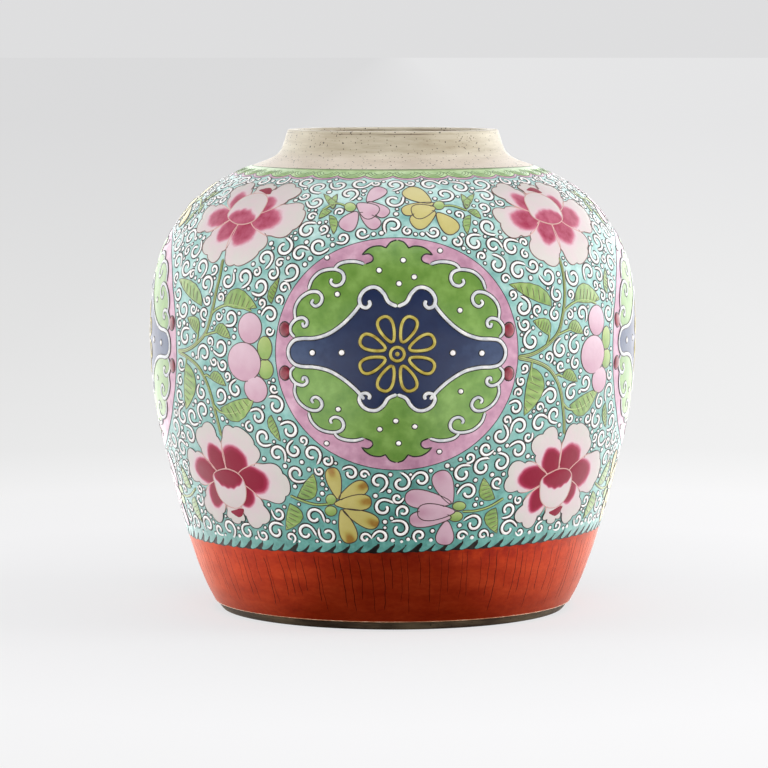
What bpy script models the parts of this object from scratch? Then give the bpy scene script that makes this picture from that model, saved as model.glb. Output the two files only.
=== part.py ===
"""Ginger jar: a thrown porcelain jar with a wide round belly, a low unglazed neck and no cover.

The jar is modelled the way it is made: four turned sections that the potter lutes together with slip
before firing, from the foot up. Run it in Blender 4.5 with:

    blender --background --python part.py

Units are metres, +Z is up, and the origin is the centre of the plane that the foot ring stands on.
"""

import math

import bpy

# Driving dimensions ------------------------------------------------------------------------------

HEIGHT = 0.2000
RIM_RADIUS = 0.0440
TURNING_STEPS = 48
POINTS_PER_SPAN = 2

FOOT_RADIUS = 0.0715
FOOT_TOP_RADIUS = 0.0736
FOOT_HEIGHT = 0.0030
FOOT_RING_WIDTH = 0.0085
RECESS_DEPTH = 0.0050
RECESS_SLOPE = 0.0020

FLOOR_THICKNESS = 0.0055
FLOOR_RADIUS = 0.0560
FLOOR_CORNER_TOP_Z = 0.0250
FLOOR_CORNER_STEPS = 5

BODY_WALL = 0.0052
NECK_WALL = 0.0048
NECK_WALL_STARTS_Z = 0.1650
LIP_ROUND = 0.0010
LIP_STEPS = 3

BAND_SEAM_Z = 0.0335
BELLY_SEAM_Z = 0.1120
NECK_SEAM_Z = 0.1900
LUTING_GAP = 0.0003

# Outer side of the wall from the ledge above the foot to the neck under the lip, as (radius, height).
OUTER_WALL = (
    (0.0746, 0.0036),
    (0.0784, 0.0110),
    (0.0832, 0.0236),
    (0.0886, 0.0413),
    (0.0928, 0.0580),
    (0.0968, 0.0741),
    (0.0996, 0.0920),
    (0.1009, 0.1120),
    (0.1007, 0.1250),
    (0.0996, 0.1375),
    (0.0962, 0.1500),
    (0.0910, 0.1600),
    (0.0834, 0.1702),
    (0.0740, 0.1776),
    (0.0656, 0.1821),
    (0.0584, 0.1851),
    (0.0524, 0.1873),
    (0.0484, 0.1895),
    (0.0462, 0.1924),
    (0.0444, 0.1980),
)

# Material name, base colour and roughness of each kind of surface.
TURQUOISE_GLAZE = ("turquoise_glaze", (0.36, 0.72, 0.67), 0.20)
IRON_RED_GLAZE = ("iron_red_glaze", (0.66, 0.13, 0.04), 0.24)
NECK_BISCUIT = ("neck_biscuit", (0.74, 0.67, 0.54), 0.70)


# Turned outlines ---------------------------------------------------------------------------------


def curve_through(points, per_span):
    """Points of a Catmull-Rom curve that passes through the given ones."""
    padded = (points[0], *points, points[-1])
    curve = []
    for index in range(1, len(padded) - 2):
        near = padded[index - 1 : index + 3]
        for step in range(per_span):
            t = step / per_span
            weights = (
                -t + 2 * t**2 - t**3,
                2 - 5 * t**2 + 3 * t**3,
                t + 4 * t**2 - 3 * t**3,
                -(t**2) + t**3,
            )
            radius = sum(w * p[0] for w, p in zip(weights, near)) / 2
            height = sum(w * p[1] for w, p in zip(weights, near)) / 2
            curve.append((radius, height))
    return [*curve, points[-1]]


def wall_thickness(height):
    """The wall thins evenly over the shoulder, from the body's thickness to the neck's."""
    share = (height - NECK_WALL_STARTS_Z) / (NECK_SEAM_Z - NECK_WALL_STARTS_Z)
    share = min(max(share, 0), 1)
    return BODY_WALL + (NECK_WALL - BODY_WALL) * share


def inner_side(outline):
    """The outline moved square to itself, into the jar, by the wall thickness."""
    moved = []
    last = len(outline) - 1
    for index, (radius, height) in enumerate(outline):
        before, after = outline[max(index - 1, 0)], outline[min(index + 1, last)]
        run, rise = after[0] - before[0], after[1] - before[1]
        wall = wall_thickness(height) / math.hypot(run, rise)
        moved.append((radius - wall * rise, height + wall * run))
    return moved


def crossing(outline, height):
    """The point where an outline that rises from foot to neck passes a height."""
    for low, high in zip(outline, outline[1:]):
        if low[1] <= height <= high[1]:
            share = (height - low[1]) / (high[1] - low[1])
            return (low[0] + (high[0] - low[0]) * share, height)
    raise ValueError(f"the outline doesn't pass {height} m")


def between(outline, low, high):
    """The stretch of a rising outline from one height to another, both ends included."""
    margin = 0.0002
    middle = [point for point in outline if low + margin < point[1] < high - margin]
    return [crossing(outline, low), *middle, crossing(outline, high)]


def quarter_turns(steps):
    """Angles of a quarter circle, both ends included."""
    return [math.pi / 2 * step / steps for step in range(steps + 1)]


# Blender objects ---------------------------------------------------------------------------------


def clear_scene():
    for old in list(bpy.data.objects):
        bpy.data.objects.remove(old)


def surface(name, colour, roughness):
    """A plain Principled material for one kind of surface."""
    material = bpy.data.materials.new(name)
    material.use_nodes = True
    shader = material.node_tree.nodes["Principled BSDF"]
    shader.inputs["Base Color"].default_value = (*colour, 1)
    shader.inputs["Roughness"].default_value = roughness
    shader.inputs["Metallic"].default_value = 0
    return material


def turned(name, outline, closed, collection, material):
    """A section turned about Z. Its outline runs outwards, down the outer side and inwards again. A closed
    outline makes a ring, and an open one starts and ends on the axis."""
    mesh = bpy.data.meshes.new(name)
    edges = [(index, index + 1) for index in range(len(outline) - 1)]
    if closed:
        edges.append((len(outline) - 1, 0))
    mesh.from_pydata([(radius, 0, height) for radius, height in outline], edges, [])
    mesh.materials.append(material)
    section = bpy.data.objects.new(name, mesh)
    collection.objects.link(section)
    turning = section.modifiers.new("Turning", "SCREW")
    turning.axis = "Z"
    turning.steps = TURNING_STEPS
    turning.render_steps = TURNING_STEPS
    turning.use_merge_vertices = True
    turning.merge_threshold = 0.00001
    turning.use_smooth_shade = True
    return section


def foot_and_base(outer, inner, collection, material):
    """The foot ring, the recess under it, the floor, and the foot of the wall up to the band's seam."""
    seam = BAND_SEAM_Z - LUTING_GAP / 2
    floor_z = RECESS_DEPTH + FLOOR_THICKNESS
    corner_reach = crossing(inner, FLOOR_CORNER_TOP_Z)[0] - FLOOR_RADIUS
    corner_rise = FLOOR_CORNER_TOP_Z - floor_z
    corner = [
        (FLOOR_RADIUS + corner_reach * math.sin(turn), FLOOR_CORNER_TOP_Z - corner_rise * math.cos(turn))
        for turn in quarter_turns(FLOOR_CORNER_STEPS)
    ]
    inside = between(inner, FLOOR_CORNER_TOP_Z, seam)[1:]
    outside = between(outer, outer[0][1], seam)
    ring_inner = FOOT_RADIUS - FOOT_RING_WIDTH
    foot = [
        (FOOT_TOP_RADIUS, FOOT_HEIGHT),
        (FOOT_RADIUS, 0),
        (ring_inner, 0),
        (ring_inner - RECESS_SLOPE, RECESS_DEPTH),
        (0, RECESS_DEPTH),
    ]
    outline = [(0, floor_z), *corner, *inside, *reversed(outside), *foot]
    return turned("foot_and_base", outline, False, collection, material)


def wall_ring(name, outer, inner, low, high, collection, material):
    """A thrown ring of the wall between two seams, short of each by half of the slip between them."""
    low, high = low + LUTING_GAP / 2, high - LUTING_GAP / 2
    outline = [*reversed(between(outer, low, high)), *between(inner, low, high)]
    return turned(name, outline, True, collection, material)


def neck_collar(outer, inner, collection, material):
    """The low neck that the missing cover fitted over, from the shoulder's seam to the rounded lip."""
    seam = NECK_SEAM_Z + LUTING_GAP / 2
    bore_radius = RIM_RADIUS - NECK_WALL
    lip_outside = [
        (RIM_RADIUS - LIP_ROUND * (1 - math.sin(turn)), HEIGHT - LIP_ROUND * (1 - math.cos(turn)))
        for turn in quarter_turns(LIP_STEPS)
    ]
    lip_inside = [
        (bore_radius + LIP_ROUND * (1 - math.cos(turn)), HEIGHT - LIP_ROUND * (1 - math.sin(turn)))
        for turn in quarter_turns(LIP_STEPS)
    ]
    outside = between(outer, seam, outer[-1][1])
    outline = [*lip_outside, *reversed(outside), crossing(inner, seam), *lip_inside]
    return turned("neck_collar", outline, True, collection, material)


def build_jar():
    jar = bpy.data.collections.new("ginger_jar")
    bpy.context.scene.collection.children.link(jar)
    outer = curve_through(OUTER_WALL, POINTS_PER_SPAN)
    inner = inner_side(outer)
    turquoise = surface(*TURQUOISE_GLAZE)
    foot_and_base(outer, inner, jar, surface(*IRON_RED_GLAZE))
    wall_ring("lower_body", outer, inner, BAND_SEAM_Z, BELLY_SEAM_Z, jar, turquoise)
    wall_ring("upper_body", outer, inner, BELLY_SEAM_Z, NECK_SEAM_Z, jar, turquoise)
    neck_collar(outer, inner, jar, surface(*NECK_BISCUIT))


clear_scene()
build_jar()
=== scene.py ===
"""The finished look of the ginger jar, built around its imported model.

The wall is turned again at a finer grain. The painted decoration is real relief on it: each petal, leaf,
scroll and outline is a thin raised piece of enamel. Motifs are drawn flat, in millimetres, with u to the
right and v up the wall, and are then wrapped onto the wall around a spot on it.
"""

import math
import random

import bpy
import numpy as np
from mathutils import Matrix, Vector
from mathutils.geometry import delaunay_2d_cdt


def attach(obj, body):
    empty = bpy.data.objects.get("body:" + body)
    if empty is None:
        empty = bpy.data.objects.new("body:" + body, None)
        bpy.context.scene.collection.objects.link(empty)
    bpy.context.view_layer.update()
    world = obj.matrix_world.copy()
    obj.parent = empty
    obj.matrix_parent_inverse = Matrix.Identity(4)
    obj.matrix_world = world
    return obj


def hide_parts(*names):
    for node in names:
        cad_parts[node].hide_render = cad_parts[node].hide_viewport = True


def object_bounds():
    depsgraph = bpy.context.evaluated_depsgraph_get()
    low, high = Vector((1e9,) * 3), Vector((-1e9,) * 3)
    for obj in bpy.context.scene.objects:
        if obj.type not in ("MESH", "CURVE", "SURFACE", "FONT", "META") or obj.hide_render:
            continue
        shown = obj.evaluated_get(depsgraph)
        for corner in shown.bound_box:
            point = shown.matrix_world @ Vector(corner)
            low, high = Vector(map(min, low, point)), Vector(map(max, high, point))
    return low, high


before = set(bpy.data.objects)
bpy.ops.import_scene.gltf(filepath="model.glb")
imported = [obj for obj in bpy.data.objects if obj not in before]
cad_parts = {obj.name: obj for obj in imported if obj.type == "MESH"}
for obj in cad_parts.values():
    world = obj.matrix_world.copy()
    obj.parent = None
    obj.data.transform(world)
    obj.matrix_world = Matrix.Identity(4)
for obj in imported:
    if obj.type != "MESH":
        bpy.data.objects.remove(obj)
CAD_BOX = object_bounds()
BODY = "root"
MM = 0.001
TAU = 2 * math.pi
dice = random.Random(41)

# The wall ------------------------------------------------------------------------------------------

# Outer side of the wall from the ledge above the foot to the neck under the lip, as (radius, height), mm.
OUTER_WALL = (
    (74.6, 3.6),
    (78.4, 11.0),
    (83.2, 23.6),
    (88.6, 41.3),
    (92.8, 58.0),
    (96.8, 74.1),
    (99.6, 92.0),
    (100.9, 112.0),
    (100.7, 125.0),
    (99.6, 137.5),
    (96.2, 150.0),
    (91.0, 160.0),
    (83.4, 170.2),
    (74.0, 177.6),
    (65.6, 182.1),
    (58.4, 185.1),
    (52.4, 187.3),
    (48.4, 189.5),
    (46.2, 192.4),
    (44.4, 198.0),
)
HEIGHT = (CAD_BOX[1][2] - CAD_BOX[0][2]) / MM
BODY_WALL = 5.2
NECK_WALL = 4.8
RIM_RADIUS = 44.0
BORE_RADIUS = RIM_RADIUS - NECK_WALL
LIP_ROUND = 1.0
FOOT_RADIUS = 71.5
FOOT_RING_INNER = 63.0
FLOOR_Z = 10.5
RECESS_Z = 5.0
SEGMENTS = 256
RELIEF = 0.7

BAND_Z = 33.6
BAND_TILT = 1.9
COLLAR_LOW_Z = 181.7
COLLAR_TOP_Z = 185.05
MEDALLION_Z = 113.0
PANEL_Z = 112.0


def curve_through(points, per_span, closed=False):
    """A Catmull-Rom curve through the points. A point given twice makes a corner."""
    points = np.asarray(points, float)
    padded = np.vstack([points[-1:], points, points[:2]] if closed else [points[:1], points, points[-1:]])
    t = (np.arange(per_span) / per_span)[:, None]
    spans = []
    for index in range(1, len(padded) - 2):
        a, b, c, d = padded[index - 1 : index + 3]
        if np.allclose(b, c):
            continue
        a = 2 * b - c if np.allclose(a, b) else a
        d = 2 * c - b if np.allclose(c, d) else d
        turn = 2 * b + (c - a) * t + (2 * a - 5 * b + 4 * c - d) * t**2 + (3 * b - a - 3 * c + d) * t**3
        spans.append(turn / 2)
    return np.vstack(spans if closed else [*spans, points[-1:]])


class Wall:
    """The jar's outer side. A place on it is an angle (0 in front, growing to the right) and a distance
    along the wall from the foot."""

    def __init__(self, outline):
        self.r, self.z = curve_through(outline, 24).T
        steps = np.hypot(np.diff(self.r), np.diff(self.z))
        self.s = np.concatenate([[0], np.cumsum(steps)])
        rise, run = np.gradient(self.z, self.s), np.gradient(self.r, self.s)
        length = np.hypot(rise, run)
        self.out_r, self.out_z = rise / length, -run / length

    def radius(self, along):
        return np.interp(along, self.s, self.r)

    def along(self, height):
        return float(np.interp(height, self.z, self.s))

    def place(self, angle, along, lift):
        """Places in metres, raised by lift in millimetres. The wall keeps faint ridges from the wheel."""
        angle, along, lift = np.broadcast_arrays(np.asarray(angle, float), along, lift)
        ridges = 0.05 * np.sin(along * 0.52 + 1.3 * np.sin(angle)) + 0.07 * np.sin(3 * angle + along * 0.06)
        lift = np.where(lift > 0, lift * RELIEF, lift) + ridges * np.clip((along - 4) / 20, 0, 1) * np.clip((self.s[-1] - along) / 20, 0, 1)
        r = np.interp(along, self.s, self.r) + lift * np.interp(along, self.s, self.out_r)
        z = np.interp(along, self.s, self.z) + lift * np.interp(along, self.s, self.out_z)
        return np.stack([r * np.sin(angle), -r * np.cos(angle), z], -1) * MM


WALL = Wall(OUTER_WALL)


def edge_along(angle):
    """Where the turquoise ends above the iron red: the painter's line is lower on the left."""
    return WALL.along(BAND_Z) + BAND_TILT * np.sin(angle)


class Spot:
    """A place on the wall that a motif is drawn around. It can be turned, sized and mirrored."""

    def __init__(self, azimuth, height, turn=0.0, size=1.0, flip_u=1, flip_v=1, shift=(0, 0)):
        self.along = WALL.along(height) + shift[1]
        self.angle = math.radians(azimuth) + shift[0] / float(WALL.radius(self.along))
        cos, sin = math.cos(math.radians(turn)) * size, math.sin(math.radians(turn)) * size
        self.matrix = np.array([[cos, -sin], [sin, cos]]) @ np.diag([flip_u, flip_v])
        self.mirrored = flip_u * flip_v < 0

    def flat(self, uv):
        u, v = self.matrix @ np.asarray(uv, float).T
        along = self.along + v
        return self.angle + u / WALL.radius(along), along


# Materials -----------------------------------------------------------------------------------------


def srgb(*channels):
    """A display colour from 0 to 255 as the linear colour that shaders use."""
    return tuple((c / 255 / 12.92) if c <= 10 else ((c / 255 + 0.055) / 1.055) ** 2.4 for c in channels)


class Shader:
    """A Principled material that is put together node by node."""

    def __init__(self, name, roughness, specular=0.5):
        self.material = bpy.data.materials.new(name)
        self.material.use_nodes = True
        self.tree = self.material.node_tree
        self.main = self.tree.nodes["Principled BSDF"]
        self.main.inputs["Roughness"].default_value = roughness
        self.main.inputs["Specular IOR Level"].default_value = specular
        self.place = self.tree.nodes.new("ShaderNodeTexCoord").outputs["Object"]

    def link(self, source, node, socket):
        self.tree.links.new(source, node.inputs[socket])

    def stretched(self, scale):
        mapping = self.tree.nodes.new("ShaderNodeMapping")
        mapping.inputs["Scale"].default_value = scale
        self.link(self.place, mapping, "Vector")
        return mapping.outputs["Vector"]

    def noise(self, scale, detail=3.0, stretch=None, roughness=0.55):
        node = self.tree.nodes.new("ShaderNodeTexNoise")
        node.inputs["Scale"].default_value = scale
        node.inputs["Detail"].default_value = detail
        node.inputs["Roughness"].default_value = roughness
        self.link(self.stretched(stretch) if stretch else self.place, node, "Vector")
        return node.outputs["Fac"]

    def tone(self):
        node = self.tree.nodes.new("ShaderNodeAttribute")
        node.attribute_name = "tone"
        return node.outputs["Fac"]

    def maths(self, operation, a, b):
        node = self.tree.nodes.new("ShaderNodeMath")
        node.operation = operation
        for socket, value in enumerate((a, b)):
            if isinstance(value, (int, float)):
                node.inputs[socket].default_value = value
            else:
                self.link(value, node, socket)
        return node.outputs[0]

    def ramp(self, source, stops):
        node = self.tree.nodes.new("ShaderNodeValToRGB")
        while len(node.color_ramp.elements) < len(stops):
            node.color_ramp.elements.new(1.0)
        for element, (position, colour) in zip(node.color_ramp.elements, stops):
            element.position = position
            element.color = (*colour, 1)
        self.link(source, node, "Fac")
        return node.outputs["Color"]

    def mix(self, factor, a, b):
        node = self.tree.nodes.new("ShaderNodeMix")
        node.data_type = "RGBA"
        self.link(factor, node, "Factor")
        colours = [socket for socket in node.inputs if socket.type == "RGBA"]
        for socket, value in zip(colours, (a, b)):
            if isinstance(value, tuple):
                socket.default_value = (*value, 1)
            else:
                self.tree.links.new(value, socket)
        return next(socket for socket in node.outputs if socket.type == "RGBA")

    def span(self, source, low, high):
        node = self.tree.nodes.new("ShaderNodeMapRange")
        node.inputs["To Min"].default_value = low
        node.inputs["To Max"].default_value = high
        self.link(source, node, "Value")
        return node.outputs["Result"]

    def height(self, low, high):
        """Runs from 0 at one height to 1 at another, both in millimetres."""
        split = self.tree.nodes.new("ShaderNodeSeparateXYZ")
        self.link(self.place, split, 0)
        node = self.tree.nodes.new("ShaderNodeMapRange")
        node.inputs["From Min"].default_value, node.inputs["From Max"].default_value = low * MM, high * MM
        self.link(split.outputs["Z"], node, "Value")
        return node.outputs["Result"]

    def colour(self, source):
        self.link(source, self.main, "Base Color")

    def gloss(self, source, low, high):
        self.link(self.span(source, low, high), self.main, "Roughness")

    def bump(self, source, strength, distance):
        node = self.tree.nodes.new("ShaderNodeBump")
        node.inputs["Strength"].default_value = strength
        node.inputs["Distance"].default_value = distance
        self.link(source, node, "Height")
        self.link(node.outputs["Normal"], self.main, "Normal")


def glaze(name, dark, middle, light, grain=240.0, gloss=(0.30, 0.44), bump=0.25, specular=0.5):
    """A fired enamel: brushed unevenly, so it is deeper where it pooled, and slightly rippled."""
    shader = Shader(name, 0.2, specular)
    cloud = shader.noise(grain, 4.0)
    shader.colour(shader.ramp(cloud, [(0.30, dark), (0.50, middle), (0.68, light)]))
    shader.gloss(shader.noise(grain * 0.6, 2.0), *gloss)
    shader.bump(shader.noise(grain * 2.2, 2.0), bump, 0.00025)
    return shader.material


def toned(name, stops, wander, grain=260.0, gloss=(0.30, 0.46), bump=0.25, specular=0.5):
    """An enamel whose colour follows the tone painted into the mesh, blurred by the brush."""
    shader = Shader(name, 0.2, specular)
    cloud = shader.noise(grain, 3.0)
    blurred = shader.maths("ADD", shader.tone(), shader.maths("MULTIPLY", shader.maths("SUBTRACT", cloud, 0.5), wander))
    shader.colour(shader.ramp(blurred, stops))
    shader.gloss(shader.noise(grain * 0.5, 2.0), *gloss)
    shader.bump(shader.noise(grain * 2.0, 2.0), bump, 0.00025)
    return shader.material


def turquoise_glaze():
    shader = Shader("turquoise_enamel", 0.36)
    cloud = shader.noise(230.0, 6.0, roughness=0.65)
    ground = shader.ramp(
        cloud,
        [(0.28, srgb(46, 96, 90)), (0.44, srgb(78, 137, 128)), (0.58, srgb(98, 160, 150)), (0.76, srgb(138, 190, 180))],
    )
    wash = shader.ramp(shader.noise(46.0, 2.0), [(0.40, srgb(84, 142, 138)), (0.62, srgb(110, 164, 158))])
    deep = shader.mix(shader.span(shader.noise(80.0, 1.0), 0.05, 0.4), ground, wash)
    # Painted light: up the belly and on the shoulder the turquoise is mixed toward this paler colour. It is a painted
    # wash of the light from above and the sides.
    lit_pale_colour = shader.ramp(
        shader.noise(170.0, 6.0), [(0.32, srgb(100, 156, 150)), (0.50, srgb(160, 200, 194)), (0.70, srgb(208, 231, 227))]
    )
    # How much of that painted wash of light each height gets: some on the belly, more on the shoulder, none low down.
    belly = shader.maths("MULTIPLY", shader.height(50.0, 120.0), 0.55)
    painted_light_share = shader.maths("ADD", belly, shader.maths("MULTIPLY", shader.height(135.0, 175.0), 0.42))
    shader.colour(shader.mix(painted_light_share, deep, lit_pale_colour))
    shader.gloss(shader.noise(120.0, 2.0), 0.28, 0.46)
    shader.bump(shader.noise(650.0, 3.0), 0.35, 0.0003)
    return shader.material


def iron_red_glaze():
    """Thin iron red with its coppery sheen: it mirrors light in its own colour. Brushed round the foot, and
    brushed twice below the turquoise."""
    shader = Shader("iron_red_enamel", 0.4, 0.2)
    shader.main.inputs["Metallic"].default_value = 0.5
    shader.main.inputs["Specular Tint"].default_value = (1.0, 0.66, 0.5, 1)
    strokes = shader.noise(60.0, 4.0, stretch=(1, 1, 3.0))
    base = shader.ramp(strokes, [(0.30, srgb(140, 34, 12)), (0.52, srgb(158, 46, 18)), (0.72, srgb(172, 58, 26))])
    fine = shader.ramp(shader.noise(420.0, 3.0, stretch=(1, 1, 2.0)), [(0.40, srgb(136, 34, 12)), (0.60, srgb(168, 54, 22))])
    brushed = shader.mix(shader.span(shader.noise(150.0, 1.0), 0.05, 0.45), base, fine)
    second = shader.maths("MULTIPLY", shader.height(25.0, 35.0), shader.ramp(shader.noise(190.0, 3.0), [(0.40, (0.1,) * 3), (0.60, (1.0,) * 3)]))
    shader.colour(shader.mix(second, brushed, srgb(116, 18, 14)))
    shader.gloss(shader.noise(90.0, 3.0), 0.34, 0.46)
    shader.bump(shader.noise(500.0, 3.0), 0.22, 0.0003)
    return shader.material


def biscuit(shader, lines, body, stain_share, stain_colour, gloss):
    """Unglazed clay: lines from turning, dirt in them, and specks of iron."""
    stain = shader.ramp(shader.noise(26.0, 4.0), [(0.46, (0, 0, 0)), (0.70, (1, 1, 1))])
    stained = shader.mix(shader.span(stain, 0.0, stain_share), body, stain_colour)
    pits = shader.ramp(shader.noise(1150.0, 0.0), [(0.75, (0, 0, 0)), (0.77, (1, 1, 1))])
    shader.gloss(lines, *gloss)
    shader.bump(lines, 0.35, 0.0003)
    return shader.mix(pits, stained, srgb(52, 42, 32))


def neck_clay():
    """Buff clay, cleaner at its foot, with a brown line where the missing cover sat just below the lip."""
    shader = Shader("neck_biscuit_clay", 0.6, 0.5)
    lines = shader.noise(30.0, 6.0, stretch=(1, 1, 8.0), roughness=0.7)
    upper = shader.ramp(lines, [(0.32, srgb(162, 150, 128)), (0.50, srgb(186, 176, 156)), (0.68, srgb(206, 198, 179))])
    lower = shader.ramp(lines, [(0.32, srgb(200, 186, 168)), (0.50, srgb(212, 198, 182)), (0.68, srgb(222, 210, 196))])
    body = biscuit(shader, lines, shader.mix(shader.height(191.5, 187.5), upper, lower), 0.5, srgb(142, 126, 100), (0.42, 0.6))
    band = shader.ramp(shader.height(196.6, 200.0), [(0.56, (0, 0, 0)), (0.63, (1, 1, 1)), (0.67, (1, 1, 1)), (0.74, (0, 0, 0))])
    broken = shader.ramp(shader.noise(34.0, 5.0, stretch=(1, 1, 0.2)), [(0.44, (0.12,) * 3), (0.58, (0.85,) * 3)])
    shader.colour(shader.mix(shader.maths("MULTIPLY", band, broken), body, srgb(84, 64, 44)))
    return shader.material


def foot_clay():
    """Dark, stained clay of the foot ring."""
    shader = Shader("foot_biscuit_clay", 0.78, 0.3)
    lines = shader.noise(30.0, 5.0, stretch=(1, 1, 9.0), roughness=0.7)
    body = shader.ramp(lines, [(0.32, srgb(44, 36, 28)), (0.50, srgb(70, 58, 46)), (0.66, srgb(104, 90, 70))])
    shader.colour(biscuit(shader, lines, body, 0.2, srgb(150, 136, 104), (0.62, 0.88)))
    return shader.material


SEPIA = srgb(66, 56, 50)
PALE_LINE = srgb(214, 170, 164)
BLUSH_WHITE = srgb(212, 205, 200)

M = {
    "turquoise": turquoise_glaze(),
    "iron_red": iron_red_glaze(),
    "neck": neck_clay(),
    "foot": foot_clay(),
    "clear": glaze("clear_inner_glaze", srgb(226, 227, 218), srgb(236, 236, 229), srgb(243, 243, 237), 60.0),
    # The pale line where the glaze stops above the foot is a painted highlight: the light caught along that small
    # ledge, put into its colour.
    "edge": glaze("glaze_edge_highlight", srgb(120, 82, 58), srgb(176, 122, 88), srgb(214, 176, 146), 260.0),
    "white": glaze("white_scroll_enamel", srgb(232, 222, 219), srgb(246, 241, 239), srgb(252, 250, 248), 330.0, (0.34, 0.5)),
    "soft_white": glaze("medallion_white_enamel", srgb(184, 187, 194), srgb(212, 212, 214), srgb(236, 233, 230), 300.0, (0.34, 0.5)),
    "line": glaze("sepia_line_enamel", srgb(20, 20, 19), srgb(34, 32, 30), srgb(62, 58, 54), 420.0, (0.4, 0.55), specular=0.2),
    "pink": glaze("lilac_pink_enamel", srgb(166, 118, 142), srgb(188, 141, 163), srgb(206, 166, 185), 170.0),
    "green": glaze("leaf_green_enamel", srgb(84, 122, 46), srgb(102, 138, 60), srgb(122, 156, 78), 150.0),
    "collar": glaze("collar_green_enamel", srgb(140, 176, 106), srgb(162, 194, 130), srgb(184, 210, 154), 190.0),
    "blue": toned(
        "cobalt_blue_enamel", [(0.0, srgb(18, 27, 58)), (0.4, srgb(28, 40, 70)), (1.0, srgb(66, 81, 110))], 0.7, 210.0, specular=0.3
    ),
    "yellow": glaze("old_yellow_enamel", srgb(148, 126, 42), srgb(176, 158, 66), srgb(196, 182, 96), 300.0),
    "crimson": glaze("crimson_bead_enamel", srgb(84, 12, 28), srgb(112, 20, 38), srgb(142, 44, 60), 260.0),
    "black": glaze("black_edge_enamel", srgb(14, 12, 12), srgb(26, 22, 20), srgb(48, 40, 34), 300.0, (0.4, 0.5), specular=0.2),
    "hairline": glaze("red_hairline_enamel", srgb(38, 6, 3), srgb(56, 11, 5), srgb(84, 20, 9), 200.0, specular=0.05),
    "peony": toned(
        "peony_enamel",
        [(0.0, BLUSH_WHITE), (0.22, srgb(222, 198, 204)), (0.42, srgb(196, 110, 134)), (0.62, srgb(150, 38, 68)), (1.0, srgb(128, 14, 44))],
        0.30,
        specular=0.12,
    ),
    "flower_pink": toned(
        "pink_flower_enamel", [(0.0, srgb(206, 176, 188)), (0.6, srgb(186, 142, 160)), (1.0, srgb(164, 102, 124))], 0.35
    ),
    "flower_yellow": toned(
        "yellow_flower_enamel", [(0.0, srgb(190, 180, 112)), (0.55, srgb(174, 160, 84)), (1.0, srgb(144, 106, 42))], 0.45
    ),
    "leaf": toned(
        "leaf_enamel", [(0.0, srgb(158, 176, 106)), (0.5, srgb(118, 148, 70)), (1.0, srgb(78, 110, 44))], 0.6
    ),
    "green_line": glaze("green_line_enamel", srgb(58, 84, 38), srgb(78, 108, 50), srgb(104, 134, 70), 300.0),
    "motif_line": toned("motif_line_enamel", [(0.0, srgb(36, 33, 30)), (0.5, srgb(122, 92, 86)), (1.0, PALE_LINE)], 0.12, specular=0.25),
}


# Meshes --------------------------------------------------------------------------------------------


class Enamel:
    """Gathers the faces of one piece. Its tone runs from 0 to 1 and is painted into the mesh."""

    def __init__(self, name, look):
        self.name, self.look = name, look
        self.places, self.faces, self.tones, self.count = [], [], [], 0

    def add(self, places, faces, tones, mirrored=False):
        faces = np.asarray(faces) + self.count
        self.faces.append(faces[:, ::-1] if mirrored else faces)
        self.places.append(places)
        self.tones.append(np.broadcast_to(np.asarray(tones, float), len(places)))
        self.count += len(places)

    def make(self):
        if not self.count:
            return None
        mesh = bpy.data.meshes.new(self.name)
        faces = [tuple(face) for group in self.faces for face in group.tolist()]
        mesh.from_pydata(np.vstack(self.places).tolist(), [], faces)
        tone = mesh.attributes.new("tone", "FLOAT", "POINT")
        tone.data.foreach_set("value", np.concatenate(self.tones).astype(np.float32))
        mesh.materials.append(M[self.look])
        mesh.shade_smooth()
        piece = bpy.data.objects.new(self.name, mesh)
        bpy.context.scene.collection.objects.link(piece)
        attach(piece, BODY)
        return piece


def distance_to(points, outline, closed=True):
    """How far each point is from a line through the outline's points."""
    ends = np.roll(outline, -1, 0) if closed else outline[1:]
    starts = outline if closed else outline[:-1]
    span = ends - starts
    offset = points[:, None] - starts[None]
    share = np.clip((offset * span).sum(-1) / np.maximum((span**2).sum(-1), 1e-9), 0, 1)
    return np.sqrt(((offset - share[..., None] * span) ** 2).sum(-1).min(1))


def is_inside(points, outline):
    """Whether each point is inside a closed outline, by counting the edges to its right."""
    x, y = points[:, 0][:, None], points[:, 1][:, None]
    x0, y0 = outline.T
    x1, y1 = np.roll(outline, -1, 0).T
    height = np.where(y1 == y0, 1e-12, y1 - y0)
    crosses = ((y0 > y) != (y1 > y)) & (x < (x1 - x0) * (y - y0) / height + x0)
    return crosses.sum(1) % 2 == 1


def grid_inside(outline, spacing, margin):
    low, high = outline.min(0), outline.max(0)
    rows = np.arange(low[1], high[1], spacing * 0.866)
    points = np.array(
        [(x, y) for index, y in enumerate(rows) for x in np.arange(low[0] + (index % 2) * spacing / 2, high[0], spacing)]
    ).reshape(-1, 2)
    if not len(points):
        return points
    points = points[is_inside(points, outline)]
    return points[distance_to(points, outline) > margin] if len(points) else points


TUCK = -0.08


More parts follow.
